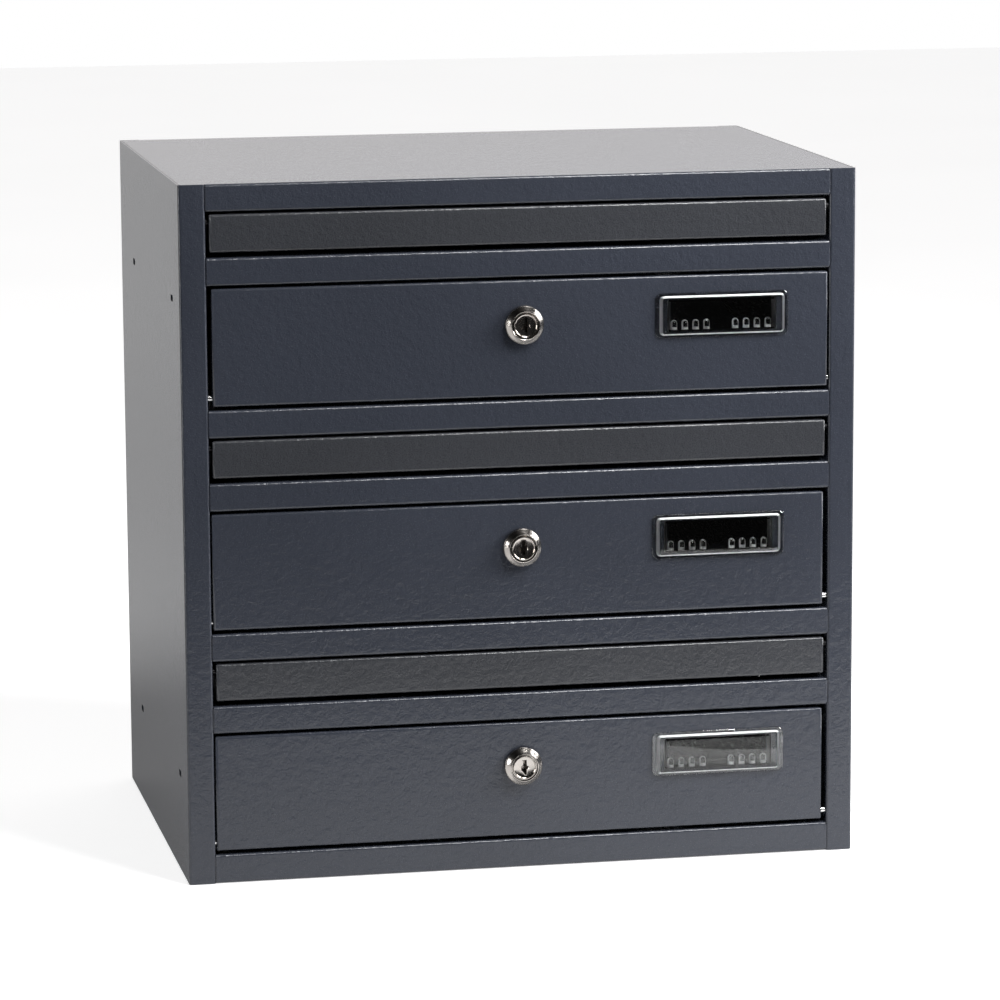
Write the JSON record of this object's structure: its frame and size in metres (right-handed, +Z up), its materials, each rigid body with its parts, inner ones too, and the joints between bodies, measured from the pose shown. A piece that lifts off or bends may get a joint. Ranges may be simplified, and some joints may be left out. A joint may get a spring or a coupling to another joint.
{
  "type": "letterbox unit",
  "caption": "Wall or shelf letterbox unit in folded steel, stacked compartments each with a letter flap above a drop-down door with cam lock and clear name window.",
  "frame": {"origin": "centre of the underside of the bottom panel", "axes": "+Z up, -Y out of the front, +X to the right seen from the front"},
  "size_m": [0.395, 0.2865, 0.405],
  "materials": {
    "grey_powder_coat": "fine leather-textured semi-gloss powder coat",
    "flap_powder_coat": "fine leather-textured semi-gloss powder coat",
    "lock_nickel": "bright nickel plate",
    "zinc_plate": "bright zinc plate",
    "hinge_steel": "bare turned steel",
    "blackened_steel": "black oxide over turned steel",
    "clear_plastic": "clear moulded polycarbonate"
  },
  "bodies": {
    "housing": {"left_side_panel": "grey_powder_coat", "right_side_panel": "grey_powder_coat", "top_panel": "grey_powder_coat", "bottom_panel": "grey_powder_coat", "back_panel": "grey_powder_coat", "top_rail": "grey_powder_coat", "bottom_rail": "grey_powder_coat", "slot_rail_1": "grey_powder_coat", "shelf_1": "grey_powder_coat", "slot_rail_2": "grey_powder_coat", "shelf_2": "grey_powder_coat", "slot_rail_3": "grey_powder_coat"},
    "flap_1": {"flap_1": "flap_powder_coat", "flap_1_pin_left": "blackened_steel", "flap_1_pin_right": "blackened_steel"},
    "door_1": {"door_1": "grey_powder_coat", "door_1_pin_left": "hinge_steel", "door_1_pin_right": "hinge_steel", "name_window_1": "clear_plastic", "lock_body_1": "lock_nickel", "lock_nut_1": "zinc_plate"},
    "lock_1": {"lock_plug_1": "lock_nickel", "lock_cam_1": "zinc_plate", "cam_screw_1": "zinc_plate"},
    "flap_2": {"flap_2": "flap_powder_coat", "flap_2_pin_left": "blackened_steel", "flap_2_pin_right": "blackened_steel"},
    "door_2": {"door_2": "grey_powder_coat", "door_2_pin_left": "hinge_steel", "door_2_pin_right": "hinge_steel", "name_window_2": "clear_plastic", "lock_body_2": "lock_nickel", "lock_nut_2": "zinc_plate"},
    "lock_2": {"lock_plug_2": "lock_nickel", "lock_cam_2": "zinc_plate", "cam_screw_2": "zinc_plate"},
    "flap_3": {"flap_3": "flap_powder_coat", "flap_3_pin_left": "blackened_steel", "flap_3_pin_right": "blackened_steel"},
    "door_3": {"door_3": "grey_powder_coat", "door_3_pin_left": "hinge_steel", "door_3_pin_right": "hinge_steel", "name_window_3": "clear_plastic", "lock_body_3": "lock_nickel", "lock_nut_3": "zinc_plate"},
    "lock_3": {"lock_plug_3": "lock_nickel", "lock_cam_3": "zinc_plate", "cam_screw_3": "zinc_plate"}
  },
  "joints": [
    {"name": "flap_1_hinge", "type": "hinge", "parent": "housing", "child": "flap_1", "pos_m": [0, -0.136, 0.3833], "axis": [-1, 0, 0], "range_deg": [0, 80]},
    {"name": "door_1_hinge", "type": "hinge", "parent": "housing", "child": "door_1", "pos_m": [0, -0.1362, 0.28285], "axis": [1, 0, 0], "range_deg": [0, 110]},
    {"name": "lock_1_turn", "type": "hinge", "parent": "door_1", "child": "lock_1", "pos_m": [0.0009, -0.14, 0.31972], "axis": [0, 1, 0], "range_deg": [0, 90]},
    {"name": "flap_2_hinge", "type": "hinge", "parent": "housing", "child": "flap_2", "pos_m": [0, -0.136, 0.25385], "axis": [-1, 0, 0], "range_deg": [0, 80]},
    {"name": "door_2_hinge", "type": "hinge", "parent": "housing", "child": "door_2", "pos_m": [0, -0.1362, 0.1534], "axis": [1, 0, 0], "range_deg": [0, 110]},
    {"name": "lock_2_turn", "type": "hinge", "parent": "door_2", "child": "lock_2", "pos_m": [-0.001, -0.14, 0.19027], "axis": [0, 1, 0], "range_deg": [0, 90]},
    {"name": "flap_3_hinge", "type": "hinge", "parent": "housing", "child": "flap_3", "pos_m": [0, -0.136, 0.1244], "axis": [-1, 0, 0], "range_deg": [0, 80]},
    {"name": "door_3_hinge", "type": "hinge", "parent": "housing", "child": "door_3", "pos_m": [0, -0.1362, 0.02395], "axis": [1, 0, 0], "range_deg": [0, 110]},
    {"name": "lock_3_turn", "type": "hinge", "parent": "door_3", "child": "lock_3", "pos_m": [-0.001, -0.14, 0.06082], "axis": [0, 1, 0], "range_deg": [0, 90]}
  ]
}
